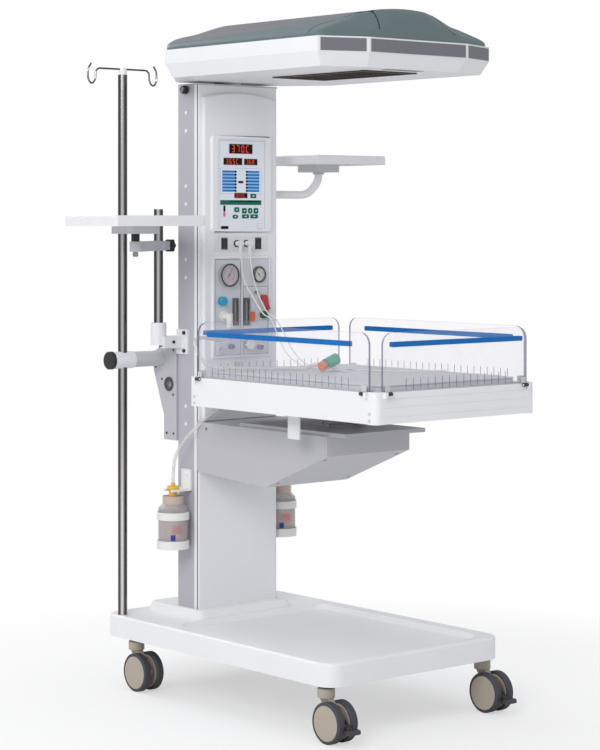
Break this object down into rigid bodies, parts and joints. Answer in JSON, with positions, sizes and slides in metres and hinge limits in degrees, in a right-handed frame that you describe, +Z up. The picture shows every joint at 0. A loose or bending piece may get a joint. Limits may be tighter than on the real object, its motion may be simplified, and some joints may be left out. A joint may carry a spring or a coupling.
{
  "type": "infant radiant warmer",
  "caption": "Infant radiant warmer: rolling base, tall column with heater hood, tilting bed with fold-down clear walls, side shelves, pole and gas panel.",
  "frame": {"origin": "on the floor, under the front face of the column and in its middle plane", "axes": "+X to the right of someone facing the warmer, +Y to the back, +Z up"},
  "size_m": [0.9825, 1.0693, 1.77],
  "materials": {
    "white_shell": "satin moulded",
    "frame_steel": "powder coated",
    "bed_metal": "powder coated",
    "rail_aluminium": "satin paint",
    "blue_plastic": "gloss",
    "caster_beige": "moulded",
    "pedal_grey": "moulded",
    "caster_tyre": "moulded",
    "column_metal": "powder coated",
    "column_white": "powder coated",
    "panel_plastic": "satin moulded",
    "plug_plastic": "moulded",
    "housing_metal": "powder coated",
    "fascia_plastic": "satin moulded",
    "purple_plastic": "gloss",
    "fitting_metal": "machined",
    "gas_plate": "satin",
    "needle_black": "matt",
    "heater_metal": "polished",
    "carrier_aluminium": "machined",
    "dome_green": "satin moulded",
    "black_plastic": "moulded",
    "hood_white": "satin moulded",
    "steel": "polished",
    "post_steel": "brushed",
    "arm_grey": "powder coated",
    "shelf_white": "satin moulded",
    "mattress_fabric": "coated cloth",
    "clear_tube": "clear soft tube",
    "teal_plastic": "gloss",
    "lead_white": "soft",
    "handle_grey": "powder coated",
    "arm_white": "powder coated",
    "strip_plastic": "moulded",
    "bottle_clear": "clear moulded",
    "white_knob": "gloss",
    "red_plastic": "gloss",
    "lever_white": "moulded",
    "support_steel": "powder coated",
    "clear_acrylic": "clear"
  },
  "bodies": {
    "left_shelf_arm": {"left_shelf_arm": "arm_grey"},
    "hood_lock_knob": {"hood_lock_knob": "black_plastic"},
    "blender_knob": {"blender_knob": "blue_plastic"},
    "left_shelf_top": {"left_shelf_top": "shelf_white"},
    "rocker_left": {"rocker_left": "black_plastic"},
    "suction_knob": {"suction_knob": "white_knob"},
    "wall_front": {"wall_front": "clear_acrylic"},
    "right_shelf_top": {"right_shelf_top": "shelf_white"},
    "infusion_hooks": {"infusion_hooks": "steel"},
    "wall_right": {"wall_right": "clear_acrylic"},
    "suction_lever": {"suction_lever": "red_plastic"},
    "gauge_needle_left": {"gauge_needle_left": "needle_black"},
    "wall_left": {"wall_left": "clear_acrylic"},
    "gauge_needle_right": {"gauge_needle_right": "needle_black"},
    "star_knob": {"star_knob": "black_plastic"},
    "flow_knob_right": {"flow_knob_right": "purple_plastic"},
    "rocker_right": {"rocker_right": "black_plastic"},
    "tilt_release_lever": {"tilt_release_lever": "lever_white"},
    "flow_knob_left": {"flow_knob_left": "purple_plastic"},
    "caster_front_left_fork": {"caster_front_left_fork": "caster_beige"},
    "caster_front_left_pedal": {"caster_front_left_pedal": "pedal_grey"},
    "caster_front_left_wheels": {"caster_front_left_wheels": "caster_tyre"},
    "caster_front_right_fork": {"caster_front_right_fork": "caster_beige"},
    "caster_front_right_pedal": {"caster_front_right_pedal": "pedal_grey"},
    "caster_front_right_wheels": {"caster_front_right_wheels": "caster_tyre"},
    "caster_rear_left_fork": {"caster_rear_left_fork": "caster_beige"},
    "caster_rear_left_wheels": {"caster_rear_left_wheels": "caster_tyre"},
    "caster_rear_right_fork": {"caster_rear_right_fork": "caster_beige"},
    "caster_rear_right_wheels": {"caster_rear_right_wheels": "caster_tyre"},
    "hood": {"hood_shell": "hood_white", "hood_dome": "dome_green", "hood_carrier": "carrier_aluminium", "heater_unit": "heater_metal"},
    "bed": {"bed_rails": "rail_aluminium", "bed_deck": "bed_metal", "mattress": "mattress_fabric", "wall_rear": "clear_acrylic", "patient_connector": "teal_plastic"},
    "stand": {"base_cover": "white_shell", "base_frame": "frame_steel", "column_body": "column_metal", "column_front": "column_white", "control_unit": "panel_plastic", "cover_screws": "plug_plastic", "drive_housing": "housing_metal", "fascia": "fascia_plastic", "gas_fittings": "fitting_metal", "gas_panel": "gas_plate", "infusion_pole": "steel", "left_post": "post_steel", "oxygen_hose": "clear_tube", "probe_lead_air": "lead_white", "probe_lead_skin": "lead_white", "push_handle": "handle_grey", "rear_housing": "housing_metal", "right_shelf_arm": "arm_white", "socket_strip": "strip_plastic", "suction_bottles": "bottle_clear", "suction_hose": "clear_tube", "tilt_support": "support_steel"}
  },
  "joints": [
    {"name": "caster_front_left_swivel", "type": "hinge", "parent": "stand", "child": "caster_front_left_fork", "pos_m": [-0.262, -0.665, 0.11], "axis": [0, 0, 1], "continuous": true},
    {"name": "caster_front_left_roll", "type": "hinge", "parent": "caster_front_left_fork", "child": "caster_front_left_wheels", "pos_m": [-0.262, -0.697, 0.05], "axis": [1, 0, 0], "continuous": true},
    {"name": "caster_front_left_brake", "type": "hinge", "parent": "caster_front_left_fork", "child": "caster_front_left_pedal", "pos_m": [-0.262, -0.725, 0.052], "axis": [1, 0, 0], "range_deg": [0, 12]},
    {"name": "caster_front_right_swivel", "type": "hinge", "parent": "stand", "child": "caster_front_right_fork", "pos_m": [0.262, -0.665, 0.11], "axis": [0, 0, 1], "continuous": true},
    {"name": "caster_front_right_roll", "type": "hinge", "parent": "caster_front_right_fork", "child": "caster_front_right_wheels", "pos_m": [0.262, -0.697, 0.05], "axis": [1, 0, 0], "continuous": true},
    {"name": "caster_front_right_brake", "type": "hinge", "parent": "caster_front_right_fork", "child": "caster_front_right_pedal", "pos_m": [0.262, -0.725, 0.052], "axis": [1, 0, 0], "range_deg": [0, 12]},
    {"name": "caster_rear_left_swivel", "type": "hinge", "parent": "stand", "child": "caster_rear_left_fork", "pos_m": [-0.262, 0.103, 0.11], "axis": [0, 0, 1], "continuous": true},
    {"name": "caster_rear_left_roll", "type": "hinge", "parent": "caster_rear_left_fork", "child": "caster_rear_left_wheels", "pos_m": [-0.262, 0.071, 0.05], "axis": [1, 0, 0], "continuous": true},
    {"name": "caster_rear_right_swivel", "type": "hinge", "parent": "stand", "child": "caster_rear_right_fork", "pos_m": [0.262, 0.103, 0.11], "axis": [0, 0, 1], "continuous": true},
    {"name": "caster_rear_right_roll", "type": "hinge", "parent": "caster_rear_right_fork", "child": "caster_rear_right_wheels", "pos_m": [0.262, 0.071, 0.05], "axis": [1, 0, 0], "continuous": true},
    {"name": "hood_swivel", "type": "hinge", "parent": "stand", "child": "hood", "pos_m": [0, 0.043, 1.612], "axis": [0, 0, 1], "range_deg": [-10, 90]},
    {"name": "hood_lock_turn", "type": "hinge", "parent": "stand", "child": "hood_lock_knob", "pos_m": [-0.142, 0.043, 1.588], "axis": [1, 0, 0], "continuous": true},
    {"name": "infusion_hooks_turn", "type": "hinge", "parent": "stand", "child": "infusion_hooks", "pos_m": [-0.27, 0.155, 1.628], "axis": [0, 0, 1], "continuous": true},
    {"name": "rocker_left_tip", "type": "hinge", "parent": "stand", "child": "rocker_left", "pos_m": [-0.058, -0.01, 1.178], "axis": [1, 0, 0], "range_deg": [-6, 6]},
    {"name": "rocker_right_tip", "type": "hinge", "parent": "stand", "child": "rocker_right", "pos_m": [0.058, -0.01, 1.178], "axis": [1, 0, 0], "range_deg": [-6, 6]},
    {"name": "gauge_needle_left_turn", "type": "hinge", "parent": "stand", "child": "gauge_needle_left", "pos_m": [-0.051, -0.02, 1.094], "axis": [0, 1, 0], "range_deg": [-170, 100]},
    {"name": "gauge_needle_right_turn", "type": "hinge", "parent": "stand", "child": "gauge_needle_right", "pos_m": [0.058, -0.02, 1.094], "axis": [0, 1, 0], "range_deg": [-240, 30]},
    {"name": "blender_knob_turn", "type": "hinge", "parent": "stand", "child": "blender_knob", "pos_m": [-0.07, -0.02, 1.025], "axis": [0, 1, 0], "range_deg": [-135, 135]},
    {"name": "flow_knob_left_turn", "type": "hinge", "parent": "stand", "child": "flow_knob_left", "pos_m": [-0.041, -0.02, 0.903], "axis": [0, 1, 0], "continuous": true},
    {"name": "flow_knob_right_turn", "type": "hinge", "parent": "stand", "child": "flow_knob_right", "pos_m": [0.059, -0.02, 0.898], "axis": [0, 1, 0], "continuous": true},
    {"name": "suction_knob_turn", "type": "hinge", "parent": "stand", "child": "suction_knob", "pos_m": [0.022, -0.02, 0.906], "axis": [0, 1, 0], "continuous": true},
    {"name": "suction_lever_turn", "type": "hinge", "parent": "stand", "child": "suction_lever", "pos_m": [0.072, -0.02, 1.031], "axis": [0, 1, 0], "range_deg": [-90, 10]},
    {"name": "bed_tilt", "type": "hinge", "parent": "stand", "child": "bed", "pos_m": [0, -0.42, 0.734], "axis": [1, 0, 0], "range_deg": [-10, 10], "deforming": ["oxygen_hose", "probe_lead_air", "probe_lead_skin"]},
    {"name": "wall_left_fold", "type": "hinge", "parent": "bed", "child": "wall_left", "pos_m": [-0.2708, -0.4885, 0.8355], "axis": [0, -1, 0], "range_deg": [0, 178]},
    {"name": "wall_right_fold", "type": "hinge", "parent": "bed", "child": "wall_right", "pos_m": [0.2708, -0.4885, 0.8355], "axis": [0, 1, 0], "range_deg": [0, 178]},
    {"name": "wall_front_fold", "type": "hinge", "parent": "bed", "child": "wall_front", "pos_m": [0, -0.8508, 0.8355], "axis": [1, 0, 0], "range_deg": [0, 178]},
    {"name": "tilt_lever_pull", "type": "hinge", "parent": "bed", "child": "tilt_release_lever", "pos_m": [-0.2, -0.472, 0.76], "axis": [0, 1, 0], "range_deg": [0, 25]},
    {"name": "left_arm_swing", "type": "hinge", "parent": "stand", "child": "left_shelf_arm", "pos_m": [-0.203, 0.085, 1.173], "axis": [0, 0, 1], "range_deg": [-25, 15]},
    {"name": "star_knob_turn", "type": "hinge", "parent": "left_shelf_arm", "child": "star_knob", "pos_m": [-0.172, 0.085, 1.173], "axis": [1, 0, 0], "continuous": true},
    {"name": "left_shelf_swivel", "type": "hinge", "parent": "left_shelf_arm", "child": "left_shelf_top", "pos_m": [-0.3765, -0.05, 1.19], "axis": [0, 0, 1], "continuous": true},
    {"name": "right_shelf_swivel", "type": "hinge", "parent": "stand", "child": "right_shelf_top", "pos_m": [0.337, 0.06, 1.38], "axis": [0, 0, 1], "continuous": true}
  ]
}
